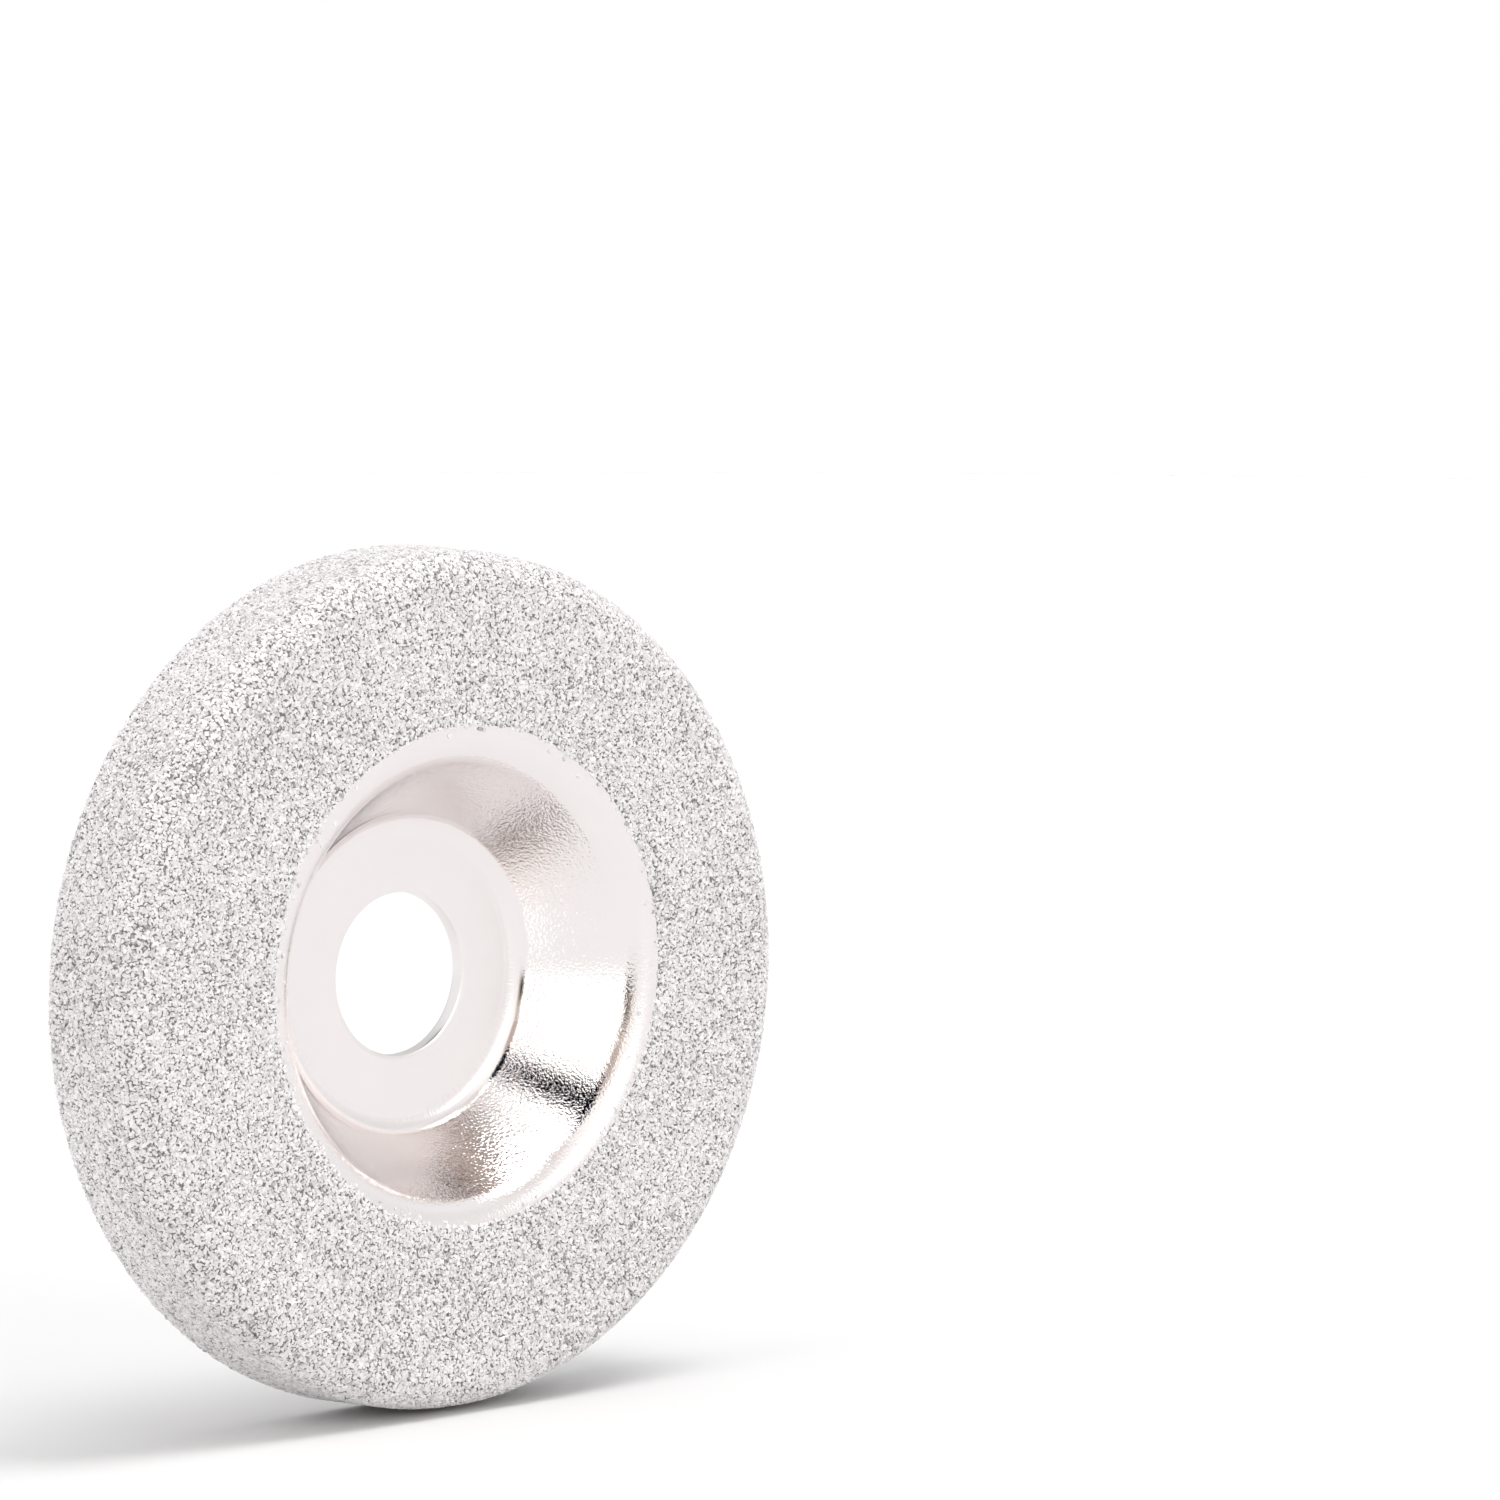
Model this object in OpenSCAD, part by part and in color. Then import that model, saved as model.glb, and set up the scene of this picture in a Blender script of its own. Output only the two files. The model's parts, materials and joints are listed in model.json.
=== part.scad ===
// Dished grinding and carving disc for an angle grinder.
// A pressed steel dish is nickel plated, and its face, outer corner and skirt
// carry diamond grains that a second nickel deposit holds in place.
//
// The spindle axis is Y and the working face looks along -Y. The origin is on
// that axis, in the plane of the hub's back face, where the grinder's flange sits.

/* [Disc] */
// Outside diameter over the diamond grains, at the skirt's back edge
disc_d = 84; // [80:0.5:100]
// Distance from the hub's back face to the tips of the grains on the face
overall_t = 12.4; // [11:0.1:15]
// Distance from the hub's back face to the plated back edge of the skirt
edge_setback = 1.2; // [0.5:0.1:3]
// Diameter of the plated spindle bore
bore_d = 16; // [10:0.1:20]

/* [Pressed sheet] */
// Thickness of the steel sheet
sheet_t = 1.38; // [1:0.02:1.6]
// Diameter at which the line of the recess wall meets the plane of the face
lip_d = 44.5; // [42:0.5:50]
// Slope of the recess wall above the hub
wall_angle = 57; // [50:1:65]
// Radius of the bend between hub and recess wall, on the front of the sheet
hub_bend_r = 2.5; // [1:0.1:3]
// Radius of the bend between recess wall and face, on the front of the sheet
lip_bend_r = 3.9; // [2:0.1:5]
// Radius of the bend between face and skirt, on the front of the sheet
corner_bend_r = 3; // [2:0.1:5]
// Angle by which the skirt opens towards its back edge
skirt_flare = 3; // [0:0.5:6]

/* [Coatings] */
// Thickness of the nickel plating on the bare steel
plating_t = 0.06; // [0.04:0.01:0.1]
// Thickness of the nickel deposit that holds the grains
bond_t = 0.15; // [0.1:0.01:0.2]
// Height of the grain tips above that deposit
grain_t = 0.15; // [0.08:0.01:0.2]
// Diameter at which the grains begin on the face
grit_start_d = 48.2; // [46:0.2:56]

/* [Hidden] */
$fn = 180;
bend_steps = 12;

// Colours of the pieces
steel_colour = [0.62, 0.63, 0.64];
plating_colour = [0.90, 0.88, 0.86];
bond_colour = [0.76, 0.75, 0.74];
grit_colour = [0.84, 0.84, 0.85];

// The sheet's section is drawn in a half plane as [radius, height], where height
// is the distance in front of the hub's back face. Its front side is a line of
// straight stretches through five corners, and each corner between the ends is
// rounded by a bend.
hub_height = plating_t + sheet_t;
face_height = overall_t - bond_t - grain_t;
edge_height = edge_setback + plating_t;
edge_r = disc_d / 2 - (bond_t + grain_t) / cos(skirt_flare);
bore_corner = [bore_d / 2 + plating_t, hub_height];
hub_corner = [lip_d / 2 - (face_height - hub_height) / tan(wall_angle), hub_height];
lip_corner = [lip_d / 2, face_height];
grit_corner = [grit_start_d / 2, face_height];
outer_corner = [edge_r - (face_height - edge_height) * tan(skirt_flare), face_height];
edge_corner = [edge_r, edge_height];
plated_edge_corner = edge_corner + plating_t * direction(outer_corner, edge_corner);

whole_front = [bore_corner, hub_corner, lip_corner, outer_corner, edge_corner];
whole_bends = [0, hub_bend_r, lip_bend_r, corner_bend_r, 0];
bare_front = [bore_corner, hub_corner, lip_corner, grit_corner];
bare_bends = [0, hub_bend_r, lip_bend_r, 0];
gritted_front = [grit_corner, outer_corner, plated_edge_corner];
gritted_bends = [0, corner_bend_r, 0];

// Unit vector from a to b
function direction(a, b) = (b - a) / norm(b - a);

// Direction u turned by an angle, counter-clockwise
function turned(u, angle) =
    [u[0] * cos(angle) - u[1] * sin(angle), u[0] * sin(angle) + u[1] * cos(angle)];

// Side of a stretch that runs along u which is the front of the sheet
function front_of(u) = [-u[1], u[0]];

// Corner p between a and b, moved so that both stretches shift forward by d
function shifted(a, p, b, d) =
    let (n = front_of(direction(a, p)), m = front_of(direction(p, b)))
    p + d * (n + m) / (1 + n * m);

// Points of the bend that rounds corner p between a and b. The radius is given
// on the sheet's front, and shrinks or grows where the line is shifted by d.
function bend(a, p, b, front_r, d) =
    let (
        u = direction(a, p),
        w = direction(p, b),
        turn = atan2(cross(u, w), u * w),
        r = front_r - sign(turn) * d,
        start = shifted(a, p, b, d) - u * r * tan(abs(turn) / 2),
        centre = start + sign(turn) * r * front_of(u)
    )
    [for (k = [0:bend_steps])
        centre - sign(turn) * r * front_of(turned(u, turn * k / bend_steps))];

// A line through the corners, shifted forward by d and rounded by its bends
function skin(corners, bends, d) =
    let (last = len(corners) - 1)
    concat(
        [corners[0] + d * front_of(direction(corners[0], corners[1]))],
        [for (i = [1:last - 1])
            each bend(corners[i - 1], corners[i], corners[i + 1], bends[i], d)],
        [corners[last] + d * front_of(direction(corners[last - 1], corners[last]))]
    );

function reversed(points) = [for (i = [len(points) - 1:-1:0]) points[i]];

// A section drawn as [radius, height] becomes a ring around the spindle axis
module ring_of(section) {
    rotate([90, 0, 0])
        rotate_extrude()
            polygon(section);
}

// A layer that lies on the front of a line, between two distances from it
module layer(corners, bends, inner, outer) {
    ring_of(concat(skin(corners, bends, outer), reversed(skin(corners, bends, inner))));
}

// One pressing: hub, recess wall, lip, face, outer corner and skirt
module steel_dish() {
    color(steel_colour)
        layer(whole_front, whole_bends, -sheet_t, 0);
}

// The plating runs from the grains' inner edge through the recess and the bore,
// across the back and round the sheared edge of the skirt
module nickel_plating() {
    back = skin(whole_front, whole_bends, -sheet_t);
    back_skin = skin(whole_front, whole_bends, -sheet_t - plating_t);
    skirt_run = plated_edge_corner - edge_corner;
    last = len(back_skin) - 1;
    outside = concat(
        reversed(skin(bare_front, bare_bends, plating_t)),
        [[bore_d / 2, hub_height + plating_t], [bore_d / 2, 0]],
        back_skin,
        [back_skin[last] + skirt_run, plated_edge_corner]
    );
    steel_side = concat(
        [edge_corner],
        reversed(back),
        skin(bare_front, bare_bends, 0)
    );
    color(plating_colour)
        ring_of(concat(outside, steel_side));
}

// Nickel that grips the lower part of every grain
module nickel_bond() {
    color(bond_colour)
        layer(gritted_front, gritted_bends, 0, bond_t);
}

// The single layer of diamond grains, as the skin that their tips form
module diamond_grit() {
    color(grit_colour)
        layer(gritted_front, gritted_bends, bond_t, bond_t + grain_t);
}

steel_dish();
nickel_plating();
nickel_bond();
diamond_grit();
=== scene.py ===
"""Looks of a dished grinding and carving disc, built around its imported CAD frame.

Metres, in the frame's own axes: the spindle axis is Y, the working face looks along -Y,
and the origin is in the plane of the hub's back face. The pressed steel dish stays as the
CAD has it. Its nickel skins are rebuilt as dense smooth shells, and the grit as single
diamond grains that stand half sunk in their nickel bond.
"""
import json
import math

import bmesh
import bpy
import numpy as np
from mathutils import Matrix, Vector


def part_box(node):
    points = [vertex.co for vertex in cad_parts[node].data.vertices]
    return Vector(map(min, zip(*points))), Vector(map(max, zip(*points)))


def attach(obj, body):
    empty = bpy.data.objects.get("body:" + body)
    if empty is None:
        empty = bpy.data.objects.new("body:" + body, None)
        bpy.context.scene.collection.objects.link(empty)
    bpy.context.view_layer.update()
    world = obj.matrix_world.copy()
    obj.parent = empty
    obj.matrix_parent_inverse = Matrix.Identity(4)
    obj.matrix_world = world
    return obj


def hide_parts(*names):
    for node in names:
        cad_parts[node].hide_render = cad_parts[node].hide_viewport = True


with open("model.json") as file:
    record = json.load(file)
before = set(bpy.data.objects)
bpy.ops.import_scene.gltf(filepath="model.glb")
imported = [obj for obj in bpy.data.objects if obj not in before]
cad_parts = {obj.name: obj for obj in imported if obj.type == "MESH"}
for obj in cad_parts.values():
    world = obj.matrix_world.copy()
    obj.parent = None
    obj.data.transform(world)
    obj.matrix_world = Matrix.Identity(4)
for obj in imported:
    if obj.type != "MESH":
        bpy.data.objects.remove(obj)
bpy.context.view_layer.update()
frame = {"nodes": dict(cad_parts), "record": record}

MM = 0.001
TAU = 2 * math.pi

# ---------------------------------------------------------------- driving dimensions
GRIT_LOW, GRIT_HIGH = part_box("diamond_grit")
TIP_R = GRIT_HIGH.x
OVERALL_T = -GRIT_LOW.y
EDGE_SETBACK = -GRIT_HIGH.y
BORE_R = frame["record"]["mounts"][0]["dims"]["r_mm"] * MM

SHEET_T = 1.38 * MM
PLATING_T = 0.06 * MM
BOND_T = 0.15 * MM
GRAIN_T = 0.15 * MM
LIP_R = 22.25 * MM
WALL_ANGLE = math.radians(57)
HUB_BEND_R = 2.5 * MM
LIP_BEND_R = 3.9 * MM
CORNER_BEND_R = 3 * MM
SKIRT_FLARE = math.radians(3)
EDGE_ROUND = 0.15 * MM

# The mask that kept the lip bare sat a little high when the grains were plated on
GRIT_START_R = 24.25 * MM
MASK_SHIFT = 0.68 * MM
MASK_SHIFT_ANGLE = math.radians(62)
MASK_WANDER = 0.10 * MM
BOND_RAMP = 0.7 * MM
BOND_SEEN_T = 0.12 * MM

GRAIN_PITCH = 0.315 * MM
GRAIN_SIZE = 0.315 * MM
GRAIN_TIP = math.radians(13)
GRIT_SECTORS = 8
CRYSTAL_SHAPES = 24

# The front and back shells meet in the bore, and both run on out of sight
BORE_JOIN_H = 0.4 * MM
PLATING_UNDER_BOND = 2.4 * MM
PLATING_UP_SKIRT = 1.2 * MM


# ---------------------------------------------------------------- the section's lines
def unit(v):
    return v / np.linalg.norm(v)


def crossed(u, w):
    return u[0] * w[1] - u[1] * w[0]


def front_of(u):
    """Side of a stretch along u that is the front of the sheet."""
    return np.array([-u[1], u[0]])


def turned(u, angle):
    c, s = math.cos(angle), math.sin(angle)
    return np.array([u[0] * c - u[1] * s, u[0] * s + u[1] * c])


def shifted(corners, bends, d):
    """The line moved forward by d: its corners and the radii of its bends."""
    ways = [unit(b - a) for a, b in zip(corners, corners[1:])]
    moved, radii = [corners[0] + d * front_of(ways[0])], [0]
    for p, r, u, w in zip(corners[1:], bends[1:], ways, ways[1:]):
        n, m = front_of(u), front_of(w)
        moved.append(p + d * (n + m) / (1 + n @ m))
        radii.append(r - d * np.sign(crossed(u, w)))
    return moved + [corners[-1] + d * front_of(ways[-1])], radii + [0]


def straight(a, b, step):
    """Points from a to b, without a and with b, at most a step apart."""
    count = max(1, math.ceil(np.linalg.norm(b - a) / step))
    return [a + (b - a) * k / count for k in range(1, count + 1)]


def traced(corners, radii, step, bend_step):
    """Points along the line through the corners, each corner rounded by its radius."""
    points = [corners[0]]
    for before, p, after, r in zip(corners, corners[1:], corners[2:], radii[1:]):
        u, w = unit(p - before), unit(after - p)
        turn = math.atan2(crossed(u, w), u @ w)
        start = p - u * r * math.tan(abs(turn) / 2)
        points += straight(points[-1], start, step)
        centre = start + np.sign(turn) * r * front_of(u)
        count = math.ceil(r * abs(turn) / bend_step)
        for k in range(1, count + 1):
            points.append(centre - np.sign(turn) * r * front_of(turned(u, turn * k / count)))
    return points + straight(points[-1], corners[-1], step)


# The front of the bare steel, as [radius, height in front of the hub's back face]
HUB_H = PLATING_T + SHEET_T
FACE_H = OVERALL_T - BOND_T - GRAIN_T
EDGE_H = EDGE_SETBACK + PLATING_T
EDGE_R = TIP_R - (BOND_T + GRAIN_T) / math.cos(SKIRT_FLARE)
FRONT = [
    np.array([BORE_R + PLATING_T, HUB_H]),
    np.array([LIP_R - (FACE_H - HUB_H) / math.tan(WALL_ANGLE), HUB_H]),
    np.array([LIP_R, FACE_H]),
    np.array([EDGE_R - (FACE_H - EDGE_H) * math.tan(SKIRT_FLARE), FACE_H]),
    np.array([EDGE_R, EDGE_H]),
]
FRONT_BENDS = [0, HUB_BEND_R, LIP_BEND_R, CORNER_BEND_R, 0]


# ---------------------------------------------------------------- meshes
def mesh_object(name, points, faces, smooth=True):
    mesh = bpy.data.meshes.new(name)
    mesh.from_pydata(points.tolist(), [], faces.tolist())
    mesh.polygons.foreach_set("use_smooth", [smooth] * len(mesh.polygons))
    mesh.update()
    made = bpy.data.objects.new(name, mesh)
    bpy.context.collection.objects.link(made)
    return made


def set_uv(mesh, corner_uv):
    layer = mesh.uv_layers.new(name="OFBake")
    layer.data.foreach_set("uv", corner_uv.astype(np.float32).ravel())


def revolved(name, outline, segments, swell=None):
    """A closed outline of [radius, height] points, turned about the spindle axis.

    swell(angle, section) may move the outline's points apart at each angle."""
    outline = np.array(outline)
    count = len(outline)
    angles = np.arange(segments) * TAU / segments
    rings = np.array([swell(a, outline) if swell else outline for a in angles])
    radius, height = rings[..., 0], rings[..., 1]
    points = np.stack(
        [radius * np.cos(angles)[:, None], -height, radius * np.sin(angles)[:, None]], axis=-1
    ).reshape(-1, 3)
    i, j = np.meshgrid(np.arange(segments), np.arange(count), indexing="ij")
    i2, j2 = (i + 1) % segments, (j + 1) % count
    faces = np.stack([i * count + j, i * count + j2, i2 * count + j2, i2 * count + j], axis=-1)
    made = mesh_object(name, points, faces.reshape(-1, 4))
    steps = np.linalg.norm(np.roll(outline, -1, axis=0) - outline, axis=1)
    along = np.concatenate([[0], np.cumsum(steps)]) / steps.sum()
    u0, u1, v0, v1 = i / segments, (i + 1) / segments, along[j], along[j + 1]
    corner_uv = np.stack([u0, v0, u0, v1, u1, v1, u1, v0], axis=-1)
    set_uv(made.data, corner_uv.reshape(-1, 2))
    made.data.set_sharp_from_angle(angle=math.radians(40))
    return made


# ---------------------------------------------------------------- the nickel shells
def plating_front():
    """Bright nickel from the bore's wall over hub, recess and lip, to under the bond."""
    corners, radii = shifted(FRONT, FRONT_BENDS, PLATING_T)
    bore_top = np.array([BORE_R, corners[0][1]])
    bore_half = np.array([BORE_R, BORE_JOIN_H])
    under_bond = np.array([GRIT_START_R + PLATING_UNDER_BOND, corners[2][1]])
    seen = traced(
        [bore_half, bore_top, corners[1], corners[2], under_bond],
        [0, EDGE_ROUND, radii[1], radii[2], 0],
        0.5 * MM,
        0.12 * MM,
    )
    hidden = traced(
        [
            np.array([under_bond[0], FACE_H]),
            FRONT[2],
            FRONT[1],
            FRONT[0],
            np.array([FRONT[0][0], BORE_JOIN_H]),
        ],
        [0, FRONT_BENDS[2], FRONT_BENDS[1], 0, 0],
        3 * MM,
        0.5 * MM,
    )
    return revolved("plating_front", seen + hidden, 720)


def plating_back():
    """Bright nickel from the bore's wall over the whole back and round the skirt's edge."""
    depth = -(SHEET_T + PLATING_T)
    corners, radii = shifted(FRONT, FRONT_BENDS, depth)
    down_skirt = unit(FRONT[4] - FRONT[3])
    run = down_skirt * PLATING_T
    skirt_front, _ = shifted(FRONT, FRONT_BENDS, PLATING_T)
    up_skirt = skirt_front[4] - down_skirt * PLATING_UP_SKIRT
    seen = traced(
        [
            np.array([BORE_R, BORE_JOIN_H]),
            np.array([BORE_R, corners[0][1]]),
            corners[1],
            corners[2],
            corners[3],
            corners[4] + run,
            skirt_front[4] + run,
            up_skirt,
        ],
        [0, EDGE_ROUND, radii[1], radii[2], radii[3], EDGE_ROUND, EDGE_ROUND, 0],
        0.8 * MM,
        0.2 * MM,
    )
    steel, bends = shifted(FRONT, FRONT_BENDS, -SHEET_T)
    hidden = traced(
        [
            FRONT[4] - down_skirt * PLATING_UP_SKIRT,
            FRONT[4],
            steel[4],
            steel[3],
            steel[2],
            steel[1],
            steel[0],
            np.array([FRONT[0][0], BORE_JOIN_H]),
        ],
        [0, 0, 0, bends[3], bends[2], bends[1], 0, 0],
        4 * MM,
        0.6 * MM,
    )
    return revolved("plating_back", seen + hidden, 480)


# ---------------------------------------------------------------- the mask's edge
def mask_radius(angle):
    """Where the grit begins at an angle from +X towards +Z."""
    wander = (
        0.5 * np.sin(3 * angle + 0.4)
        + 0.3 * np.sin(7 * angle + 2.1)
        + 0.35 * np.sin(13 * angle + 4.0)
        + 0.25 * np.sin(29 * angle + 1.3)
    )
    return GRIT_START_R + MASK_SHIFT * np.cos(angle - MASK_SHIFT_ANGLE) + MASK_WANDER * wander


def bond_height(angle, radius):
    """Thickness of the bond over the steel, which fades in from the mask's edge."""
    way_in = np.clip((radius - mask_radius(angle)) / BOND_RAMP, 0, 1)
    fade = way_in * way_in * (3 - 2 * way_in)
    return PLATING_T + (BOND_SEEN_T - PLATING_T) * fade


# ---------------------------------------------------------------- the bond
def front_line(step, bend_step, start_r):
    """Points on the steel's front from a radius on the face to the skirt's edge, with
    the distance along the line and the direction that faces outwards at each."""
    end = FRONT[4] + unit(FRONT[4] - FRONT[3]) * PLATING_T
    lip = traced(FRONT[1:4], [0, LIP_BEND_R, 0], step, bend_step)
    lip = [p for p in lip if start_r <= p[0] < GRIT_START_R + 3 * MM]
    rest = traced([lip[-1], FRONT[3], end], [0, CORNER_BEND_R, 0], step, bend_step)
    points = np.array(lip[:-1] + rest)
    ways = np.gradient(points, axis=0)
    ways /= np.linalg.norm(ways, axis=1)[:, None]
    out = np.stack([-ways[:, 1], ways[:, 0]], axis=1)
    steps = np.linalg.norm(np.diff(points, axis=0), axis=1)
    return points, out, np.concatenate([[0], np.cumsum(steps)])


def nickel_bond():
    """Matt nickel between the grains, with low swells where it was plated thicker."""
    underside_sink = 0.02 * MM
    bare_sink = 0.01 * MM
    swell_height = 0.006 * MM
    start_r = GRIT_START_R - MASK_SHIFT - 2.5 * MASK_WANDER
    points, out, along = front_line(0.45 * MM, 0.25 * MM, start_r)
    top = points + out * BOND_T
    under = (points + out * (PLATING_T - underside_sink))[::-6]
    outline = np.concatenate([top, under])

    def swell(angle, section):
        section = section.copy()
        height = bond_height(angle, points[:, 0])
        bare = height <= PLATING_T
        height = height - bare_sink * bare
        lumps = (
            np.sin(along / (1.9 * MM) + 3 * angle)
            + np.sin(along / (0.8 * MM) - 11 * angle + 1.0)
            + np.sin(along / (1.3 * MM) + 23 * angle + 2.0)
        )
        height = height + swell_height * lumps * (height > 0.1 * MM)
        section[: len(points)] = points + out * height[:, None]
        return section

    return revolved("nickel_bond_layer", outline, 720, swell)


# ---------------------------------------------------------------- the grains
def crystal(rng):
    """One blocky crystal of unit size: a twisted box with a corner broken off."""
    sides = np.array([1, rng.uniform(0.75, 1), rng.uniform(0.65, 1)])
    corners = np.array([[x, y, z] for x in (-1, 1) for y in (-1, 1) for z in (-1, 1)], float)
    corners = corners * sides * 0.56 + rng.uniform(-0.16, 0.16, (8, 3))
    corners = np.delete(corners, rng.integers(0, 8), axis=0)
    shape = bmesh.new()
    for c in corners:
        shape.verts.new(c)
    hull = bmesh.ops.convex_hull(shape, input=shape.verts[:])
    left_over = hull["geom_interior"] + hull["geom_unused"]
    loose = [e for e in left_over if isinstance(e, bmesh.types.BMVert)]
    bmesh.ops.delete(shape, geom=loose, context="VERTS")
    bmesh.ops.triangulate(shape, faces=shape.faces[:])
    bmesh.ops.recalc_face_normals(shape, faces=shape.faces[:])
    shape.verts.index_update()
    points = np.array([v.co[:] for v in shape.verts])
    faces = np.array([[v.index for v in f.verts] for f in shape.faces])
    shape.free()
    return points, faces


def random_turns(rng, count):
    """Random spins about the way out of the surface, each tipped a little, as matrices."""
    spin, tip = rng.uniform(0, TAU, count), rng.normal(0, GRAIN_TIP / 2, (count, 2))
    q = np.stack([np.cos(spin / 2), tip[:, 0], tip[:, 1], np.sin(spin / 2)], axis=1)
    q /= np.linalg.norm(q, axis=1)[:, None]
    w, x, y, z = q.T
    return np.stack(
        [
            1 - 2 * (y * y + z * z), 2 * (x * y - z * w), 2 * (x * z + y * w),
            2 * (x * y + z * w), 1 - 2 * (x * x + z * z), 2 * (y * z - x * w),
            2 * (x * z - y * w), 2 * (y * z + x * w), 1 - 2 * (x * x + y * y),
        ],
        axis=-1,
    ).reshape(-1, 3, 3)


def grain_seats(rng):
    """Angle, place along the section and radius of every grain: rings of uneven seats."""
    points, out, along = front_line(0.1 * MM, 0.1 * MM, GRIT_START_R - 1.6 * MM)

    def radius_at(s):
        return np.interp(s, along, points[:, 0])

    angles, places = [], []
    end = along[-1] - 0.35 * GRAIN_SIZE
    for s in np.arange(0, end, GRAIN_PITCH * 0.9):
        count = int(TAU * radius_at(s) / (GRAIN_PITCH * 1.04))
        ring = (np.arange(count) + rng.uniform(0, 1)) * TAU / count
        ring = ring + rng.uniform(-0.28, 0.28, count) * TAU / count
        places.append(s + rng.uniform(-0.30, 0.30, count) * GRAIN_PITCH)
        angles.append(ring)
    angle, s = np.concatenate(angles) % TAU, np.concatenate(places)
    s = np.clip(s, 0, end)
    radius = radius_at(s)
    past_mask = radius - mask_radius(angle)
    ragged = rng.normal(0, 0.09 * MM, len(s))
    stray = rng.uniform(0, 1, len(s)) < 0.12 * np.exp(-np.abs(past_mask) / (0.4 * MM))
    bald = rng.uniform(0, 1, len(s)) < 0.004
    keep = ((past_mask > ragged) | stray) & ~bald
    return angle[keep], s[keep], points, out, along


def clouds(x, z, height):
    """Slow unevenness from -1 to 1, in patches a few millimetres across."""
    waves = np.random.default_rng(7).normal(0, 1, (14, 4))
    total = sum(
        np.sin((a * x + b * z + c * height) / (2.6 * MM) + 9 * d) for a, b, c, d in waves
    )
    return np.clip(total / 3.6, -1, 1)


def seated(grains, ids, shape):
    """One crystal shape put at each of the seats ids: its points upright over its own
    seat, and the same points in the frame."""
    size = grains["size"][ids, None, None]
    local = np.einsum("nij,pj->npi", grains["turns"][ids], shape) * size
    local[..., 2] += (grains["tips"][ids] - local[..., 2].max(axis=1))[:, None]
    cos, sin = np.cos(grains["angle"][ids]), np.sin(grains["angle"][ids])
    out_r, out_h = grains["out_r"][ids], grains["out_h"][ids]
    radius, height = grains["radius"][ids], grains["height"][ids]
    outwards = np.stack([out_r * cos, -out_h, out_r * sin], axis=-1)
    around = np.stack([-sin, np.zeros(len(ids)), cos], axis=-1)
    axes = np.stack([around, np.cross(outwards, around), outwards], axis=1)
    seat = np.stack([radius * cos, -height, radius * sin], axis=-1)
    return local, seat[:, None, :] + np.einsum("npk,nkj->npj", local, axes)


def grit_sector(name, mine, grains, crystals):
    """The grains numbered in mine as one piece, with a tone for each grain."""
    grid = math.ceil(math.sqrt(len(mine)))
    points, faces, corner_uv, tones = [], [], [], []
    start = 0
    for kind, (shape, triangles) in enumerate(crystals):
        rows = np.flatnonzero(grains["kind"][mine] == kind)
        ids = mine[rows]
        if not len(ids):
            continue
        local, world = seated(grains, ids, shape)
        points.append(world.reshape(-1, 3))
        own_faces = triangles[None] + (np.arange(len(ids)) * len(shape))[:, None, None]
        faces.append((own_faces + start).reshape(-1, 3))
        cell = np.stack([rows % grid, rows // grid], axis=-1) + 0.5
        spread = local[..., :2] / (2.2 * grains["size"][ids, None, None])
        flat = (cell[:, None, :] + np.clip(spread, -0.42, 0.42)) / grid
        corner_uv.append(flat.reshape(-1, 2)[own_faces.reshape(-1)])
        tones.append(np.repeat(grains["tone"][ids], len(shape)))
        start += len(ids) * len(shape)
    piece = mesh_object(name, np.concatenate(points), np.concatenate(faces), smooth=False)
    set_uv(piece.data, np.concatenate(corner_uv))
    layer = piece.data.attributes.new("tone", "FLOAT", "POINT")
    layer.data.foreach_set("value", np.concatenate(tones).astype(np.float32))
    return piece


def diamond_grains():
    """Every grain, half sunk in the bond, its tip measured straight out from its seat.

    Where the sheet bends, a grain may lean past the tips' plane by a hundredth of a mm."""
    rng = np.random.default_rng(20)
    crystals = [crystal(rng) for _ in range(CRYSTAL_SHAPES)]
    angle, s, line, out, along = grain_seats(rng)
    count = len(angle)
    radius, height = (np.interp(s, along, line[:, k]) for k in (0, 1))
    out_r, out_h = (np.interp(s, along, out[:, k]) for k in (0, 1))
    turns = random_turns(rng, count)
    size = GRAIN_SIZE * np.clip(rng.normal(1, 0.14, count), 0.6, 1.3)
    sink = rng.uniform(0, 1, count) ** 2 * 0.07 * MM
    cloud = clouds(radius * np.cos(angle), radius * np.sin(angle), height)
    tone = np.clip(rng.uniform(0, 1, count) + 0.04 * cloud, 0, 1)
    grains = {
        "angle": angle,
        "radius": radius,
        "height": height,
        "out_r": out_r,
        "out_h": out_h,
        "turns": turns,
        "size": size,
        "tips": bond_height(angle, radius) + BOND_T - BOND_SEEN_T + GRAIN_T - sink,
        "tone": tone,
        "kind": rng.integers(0, len(crystals), count),
    }
    sector = (angle / TAU * GRIT_SECTORS).astype(int) % GRIT_SECTORS
    return [
        grit_sector(f"grit_sector_{k + 1}", np.flatnonzero(sector == k), grains, crystals)
        for k in range(GRIT_SECTORS)
    ]


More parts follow.
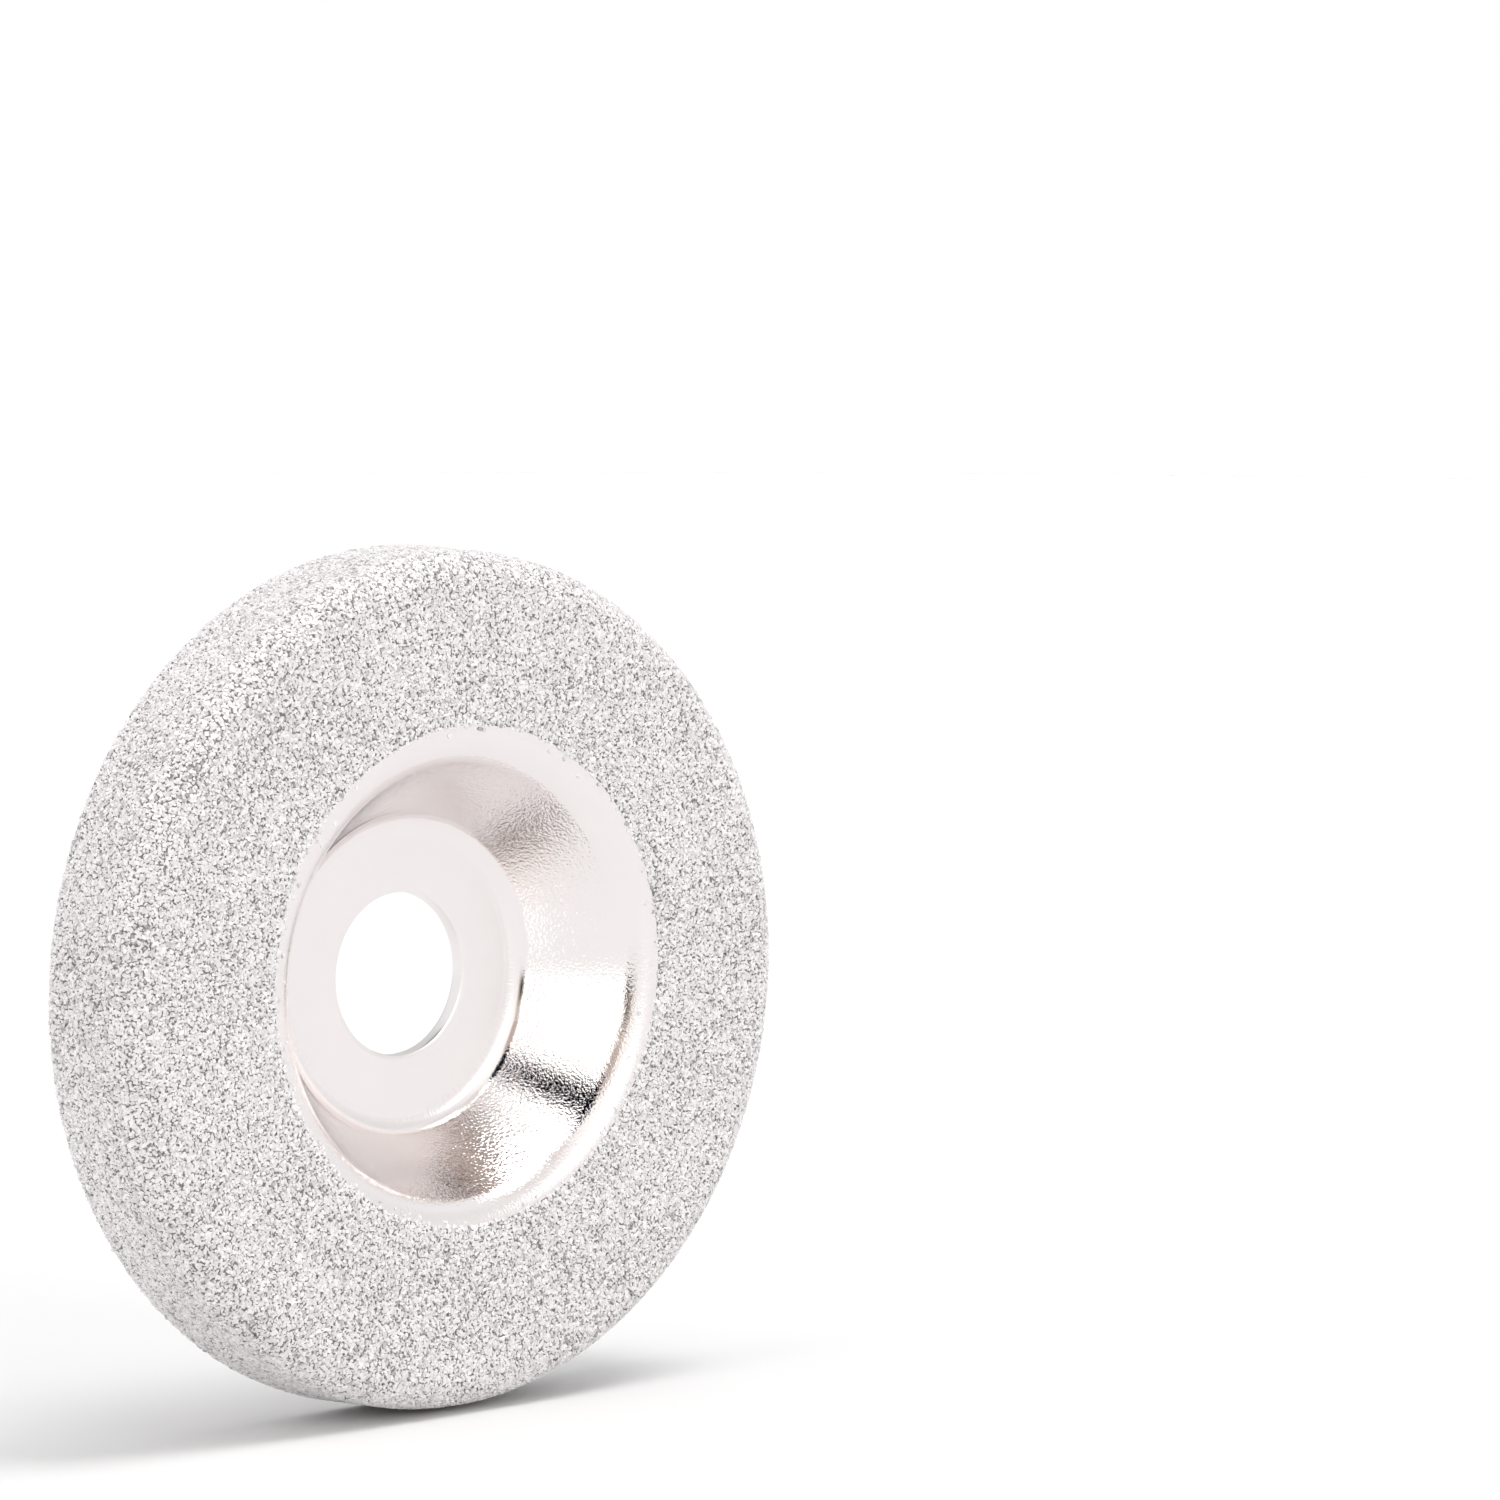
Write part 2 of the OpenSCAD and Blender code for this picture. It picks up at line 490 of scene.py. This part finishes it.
# ---------------------------------------------------------------- node helpers
class Shader:
    """A node material, with short calls for the nodes that the finishes share."""

    def __init__(self, name, **fixed):
        self.material = bpy.data.materials.new(name)
        self.material.use_nodes = True
        self.tree = self.material.node_tree
        self.tree.nodes.clear()
        out = self.tree.nodes.new("ShaderNodeOutputMaterial")
        self.bsdf = self.tree.nodes.new("ShaderNodeBsdfPrincipled")
        self.tree.links.new(self.bsdf.outputs[0], out.inputs["Surface"])
        for key, value in fixed.items():
            socket = "IOR" if key == "ior" else key.title()
            self.bsdf.inputs[socket].default_value = value

    def node(self, kind, inputs=None, **settings):
        made = self.tree.nodes.new("ShaderNode" + kind)
        for key, value in settings.items():
            setattr(made, key, value)
        for key, value in (inputs or {}).items():
            if isinstance(value, bpy.types.NodeSocket):
                self.tree.links.new(value, made.inputs[key])
            else:
                made.inputs[key].default_value = value
        return made

    def place(self):
        """Where a point is on the object, in millimetres."""
        coord = self.node("TexCoord")
        inputs = {0: coord.outputs["Object"], "Scale": 1 / MM}
        return self.node("VectorMath", inputs, operation="SCALE").outputs[0]

    def noise(self, vector, scale, detail=2.0, roughness=0.5):
        inputs = {"Vector": vector, "Scale": scale, "Detail": detail, "Roughness": roughness}
        return self.node("TexNoise", inputs).outputs["Fac"]

    def math(self, operation, a, b):
        return self.node("Math", {0: a, 1: b}, operation=operation).outputs[0]

    def ramp(self, value, low, high, to_low=0.0, to_high=1.0, smooth=True):
        made = self.node(
            "MapRange",
            {"Value": value, "From Min": low, "From Max": high, "To Min": to_low, "To Max": to_high},
            interpolation_type="SMOOTHSTEP" if smooth else "LINEAR",
        )
        return made.outputs["Result"]

    def mix(self, factor, a, b):
        made = self.node("Mix", data_type="RGBA")
        for socket, value in (("Factor", factor), ("A", a), ("B", b)):
            kind = "VALUE" if socket == "Factor" else "RGBA"
            slot = next(s for s in made.inputs if s.name == socket and s.type == kind)
            if isinstance(value, bpy.types.NodeSocket):
                self.tree.links.new(value, slot)
            else:
                slot.default_value = value if socket == "Factor" else (*value, 1)
        return next(s for s in made.outputs if s.type == "RGBA")

    def bump(self, height, strength, distance, under=None):
        inputs = {"Height": height, "Strength": strength, "Distance": distance}
        if under is not None:
            inputs["Normal"] = under
        return self.node("Bump", inputs).outputs[0]

    def to(self, socket, value):
        self.tree.links.new(value, self.bsdf.inputs[socket])

    def radius(self, place):
        """Distance from the spindle axis, in millimetres."""
        flat = self.node("VectorMath", {0: place, 1: (1, 0, 1)}, operation="MULTIPLY").outputs[0]
        return self.node("VectorMath", {0: flat}, operation="LENGTH").outputs["Value"]

    def spokes(self, place, around, along):
        """A place stretched so that noise on it runs in lines away from the spindle axis."""
        flat = self.node("VectorMath", {0: place, 1: (1, 0, 1)}, operation="MULTIPLY").outputs[0]
        ring = self.node("VectorMath", {0: flat}, operation="NORMALIZE").outputs[0]
        ring = self.node("VectorMath", {0: ring, "Scale": around}, operation="SCALE").outputs[0]
        deep = self.node("VectorMath", {0: place, 1: (0, along, 0)}, operation="MULTIPLY").outputs[0]
        return self.node("VectorMath", {0: ring, 1: deep}, operation="ADD").outputs[0]


# ---------------------------------------------------------------- finishes
def steel_finish():
    s = Shader("cold_rolled_steel", metallic=1.0)
    place = s.place()
    grain = s.noise(place, 1.5, 4.0)
    s.to("Base Color", s.mix(grain, (0.50, 0.51, 0.52), (0.60, 0.61, 0.62)))
    s.to("Roughness", s.ramp(grain, 0.3, 0.7, 0.3, 0.42))
    return s.material


def bright_nickel():
    """Nickel plated on pressed steel: mirror bright on the drawn wall, satin on the flats.

    Radii are in millimetres, as place() gives them, and heights of bumps in metres."""
    peel_height = 0.04 * MM
    speckle_height = 0.032 * MM
    draw_line_height = 0.005 * MM
    band_line_height = 0.028 * MM
    pit_depth = 0.03 * MM
    s = Shader("bright_nickel", metallic=1.0)
    place = s.place()
    radius = s.radius(place)
    cloud = s.noise(place, 0.12, 3.0)
    fine = s.noise(place, 2.2, 4.0, 0.6)
    s.to("Base Color", s.mix(cloud, (0.84, 0.80, 0.795), (0.87, 0.835, 0.83)))

    # Satin on the hub and on the lip ring, bright on the wall between them
    on_hub = s.ramp(radius, 14.4, 16.4, 1.0, 0.0)
    on_lip = s.ramp(radius, 21.0, 23.0)
    satin = s.math("MAXIMUM", on_hub, on_lip)
    rough = s.ramp(satin, 0, 1, 0.05, 0.27, smooth=False)
    uneven = s.ramp(fine, 0.25, 0.75, -0.004, 0.004, smooth=False)
    s.to("Roughness", s.math("ADD", rough, uneven))

    # Orange peel, speckle and drawing lines on the wall, and lines on the hub's rim
    wall_starts = s.ramp(radius, 15.3, 16.2)
    wall_ends = s.ramp(radius, 22.8, 24.2, 1.0, 0.0)
    on_wall = s.math("MULTIPLY", wall_starts, wall_ends)
    band_starts = s.ramp(radius, 13.4, 14.0)
    band_ends = s.ramp(radius, 14.3, 15.0, 1.0, 0.0)
    on_band = s.math("MULTIPLY", band_starts, band_ends)
    peel = s.noise(place, 0.9, 3.0, 0.55)
    speckle = s.noise(place, 3.6, 1.5, 0.6)
    draw = s.noise(s.spokes(place, 62.0, 0.9), 1.0, 3.0, 0.6)
    lines = s.noise(s.spokes(place, 75.0, 0.12), 1.0, 1.0)
    pit = s.ramp(s.noise(place, 1.7, 1.0), 0.80, 0.84, 0.0, -1.0)
    normal = s.bump(s.math("MULTIPLY", peel, on_wall), 0.4, peel_height)
    normal = s.bump(s.math("MULTIPLY", speckle, on_wall), 1.0, speckle_height, normal)
    normal = s.bump(s.math("MULTIPLY", draw, on_wall), 1.0, draw_line_height, normal)
    normal = s.bump(s.math("MULTIPLY", lines, on_band), 1.0, band_line_height, normal)
    s.to("Normal", s.bump(pit, 0.6, pit_depth, normal))
    return s.material


def matt_bond_with_painted_shade():
    s = Shader("matt_nickel_bond_painted_shade", metallic=0.85)
    place = s.place()
    grain = s.noise(place, 3.5, 3.0)
    # Matt nickel, but its colour is painted much darker than the metal is: painted shade for the
    # gaps between the grains, mottled by noise
    s.to("Base Color", s.mix(grain, (0.13, 0.118, 0.126), (0.38, 0.36, 0.37)))
    s.to("Roughness", s.ramp(grain, 0.3, 0.7, 0.42, 0.6))
    s.to("Normal", s.bump(s.noise(place, 5.0, 2.0), 0.8, 0.05 * MM))
    return s.material


def diamond():
    """Pale translucent grains: mostly clear and whitish, some grey, a few dark."""
    s = Shader("diamond_grains", roughness=0.28, ior=2.1)
    tone = s.node("Attribute", attribute_name="tone").outputs["Fac"]
    ramp = s.node("ValToRGB", {"Fac": tone})
    stops = ramp.color_ramp.elements
    stops[0].position, stops[0].color = 0.0, (0.34, 0.325, 0.335, 1)
    stops[1].position, stops[1].color = 1.0, (0.87, 0.85, 0.855, 1)
    for place, grey in ((0.06, 0.56), (0.14, 0.69), (0.5, 0.77)):
        stops.new(place).color = (grey, grey * 0.975, grey * 0.985, 1)
    s.to("Base Color", ramp.outputs["Color"])
    return s.material


def finish_with(piece, material):
    piece.data.materials.clear()
    piece.data.materials.append(material)


# ---------------------------------------------------------------- camera
def studio_camera():
    """Looks at the face from its left and a little above, with the disc low in the frame."""
    azimuth = math.radians(-40.754)
    elevation = math.radians(5.945)
    distance = 500.5 * MM
    # How far left and down the disc sits, as shares of the frame's width
    left, down = 0.185, 0.155
    data = bpy.data.cameras.new("camera")
    data.sensor_width = 36
    data.lens = 124.48
    camera = bpy.data.objects.new("camera", data)
    bpy.context.collection.objects.link(camera)
    target = Vector((0, -OVERALL_T, 0))
    back = Vector((
        math.sin(azimuth) * math.cos(elevation),
        -math.cos(azimuth) * math.cos(elevation),
        math.sin(elevation),
    ))
    camera.location = target + back * distance
    aimed = (-back).to_track_quat("-Z", "Y")
    frame_width = data.sensor_width / data.lens
    seen = Vector((-left * frame_width, -down * frame_width, -1))
    swing = seen.normalized().rotation_difference(Vector((0, 0, -1)))
    camera.rotation_mode = "QUATERNION"
    camera.rotation_quaternion = aimed @ swing
    bpy.context.scene.camera = camera


# ---------------------------------------------------------------- studio
def studio_floor():
    size = 12.0
    z = -TIP_R
    points = np.array([[-size, -size, z], [size, -size, z], [size, size, z], [-size, size, z]])
    floor = mesh_object("studio_floor", points, np.array([[0, 1, 2, 3]]))
    s = Shader("white_paper", roughness=0.9)
    s.bsdf.inputs["Specular IOR Level"].default_value = 0.0
    grain = s.noise(s.place(), 0.02, 2.0)
    s.to("Base Color", s.mix(grain, (0.745, 0.745, 0.745), (0.765, 0.765, 0.765)))
    finish_with(floor, s.material)


# The tent's own brightness, and what hangs in it, each painted over the ones before.
# An entry is the direction it lies in, seen from the disc, the angle in degrees within
# which it is full, the one where it has faded out, and its colour.
TENT = (0.97, 0.97, 0.98)
TENT_STRENGTH = 1.03
TENT_PATCHES = {
    "open back": ((0.55, 0.83, 0.05), 30, 67, (0.70, 0.70, 0.71)),
    "gap in the ceiling behind": ((0.00, 0.40, 0.92), 10, 22, (0.30, 0.30, 0.31)),
    "overhead light": ((0.16, -0.25, 0.95), 7, 20, (11.0, 11.0, 11.0)),
    "left overhead fill": ((-0.25, -0.21, 0.94), 8, 22, (2.0, 2.0, 2.0)),
    "front fill": ((-0.25, -0.85, 0.45), 12, 30, (1.2, 1.18, 1.15)),
    "right front panel": ((0.25, -0.90, 0.32), 5, 13, (3.6, 3.54, 3.43)),
    "middle front panel": ((0.10, -0.95, 0.29), 5, 13, (2.6, 2.56, 2.48)),
    "low left fill": ((-0.94, -0.32, 0.12), 14, 30, (1.6, 1.58, 1.55)),
    "high left fill": ((-0.82, -0.28, 0.50), 18, 34, (1.6, 1.58, 1.55)),
    "right front wall": ((0.64, -0.66, 0.35), 12, 22, (0.85, 0.85, 0.84)),
    "right flag": ((0.33, -0.53, 0.78), 8, 13, (0.85, 0.81, 0.79)),
    "middle flag": ((0.02, -0.45, 0.89), 9, 13, (0.85, 0.80, 0.78)),
    "brown gap over the lens": ((-0.58, -0.66, 0.48), 6, 16, (0.56, 0.46, 0.41)),
    "brown round the lens": ((-0.62, -0.78, 0.03), 6, 19, (0.40, 0.30, 0.21)),
    "lens": ((-0.65, -0.755, 0.06), 5, 9.5, (0.01, 0.01, 0.01)),
    "upper black gap": ((-0.53, -0.22, 0.82), 6, 8.5, (0.0, 0.0, 0.005)),
    "lower black gap": ((-0.46, -0.45, 0.77), 10, 12.5, (0.0, 0.0, 0.005)),
}


def nearness(tree, way, direction, inner, outer):
    """1 within the inner angle of a direction, fading to 0 at the outer one."""
    dot = tree.nodes.new("ShaderNodeVectorMath")
    dot.operation = "DOT_PRODUCT"
    tree.links.new(way, dot.inputs[0])
    dot.inputs[1].default_value = Vector(direction).normalized()
    edge = tree.nodes.new("ShaderNodeMapRange")
    edge.interpolation_type = "SMOOTHSTEP"
    edge.inputs["From Min"].default_value = math.cos(math.radians(outer))
    edge.inputs["From Max"].default_value = math.cos(math.radians(inner))
    tree.links.new(dot.outputs["Value"], edge.inputs["Value"])
    return edge.outputs["Result"]


def tent_colour(tree):
    """The tent's colour in every direction, with its patches painted on in order."""
    way = tree.nodes.new("ShaderNodeTexCoord").outputs["Generated"]
    colour = None
    for direction, inner, outer, tint in TENT_PATCHES.values():
        mix = tree.nodes.new("ShaderNodeMix")
        mix.data_type = "RGBA"
        mask = nearness(tree, way, direction, inner, outer)
        tree.links.new(mask, mix.inputs["Factor"])
        under, over = [slot for slot in mix.inputs if slot.type == "RGBA"]
        if colour is None:
            under.default_value = (*TENT, 1)
        else:
            tree.links.new(colour, under)
        over.default_value = (*tint, 1)
        colour = next(slot for slot in mix.outputs if slot.type == "RGBA")
    return colour


def studio_light():
    """A bright tent with lights and gaps in it, which the camera itself sees as white."""
    world = bpy.data.worlds.new("studio")
    bpy.context.scene.world = world
    world.use_nodes = True
    tree = world.node_tree
    tree.nodes.clear()
    lit = tree.nodes.new("ShaderNodeBackground")
    tree.links.new(tent_colour(tree), lit.inputs["Color"])
    lit.inputs["Strength"].default_value = TENT_STRENGTH
    seen = tree.nodes.new("ShaderNodeBackground")
    seen.inputs["Color"].default_value = (1, 1, 1, 1)
    choose = tree.nodes.new("ShaderNodeMixShader")
    light_path = tree.nodes.new("ShaderNodeLightPath")
    tree.links.new(light_path.outputs["Is Camera Ray"], choose.inputs[0])
    tree.links.new(lit.outputs[0], choose.inputs[1])
    tree.links.new(seen.outputs[0], choose.inputs[2])
    out = tree.nodes.new("ShaderNodeOutputWorld")
    tree.links.new(choose.outputs[0], out.inputs["Surface"])


# ---------------------------------------------------------------- assembly
studio_camera()
nickel = bright_nickel()
front, back = plating_front(), plating_back()
for piece in (front, back):
    finish_with(piece, nickel)
    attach(piece, "root")
    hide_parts("nickel_plating")

bond = nickel_bond()
finish_with(bond, matt_bond_with_painted_shade())
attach(bond, "root")
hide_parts("nickel_bond")

diamond_material = diamond()
for piece in diamond_grains():
    finish_with(piece, diamond_material)
    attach(piece, "root")
    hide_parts("diamond_grit")

finish_with(frame["nodes"]["steel_dish"], steel_finish())

studio_floor()
studio_light()
bpy.context.scene.view_settings.view_transform = "Standard"
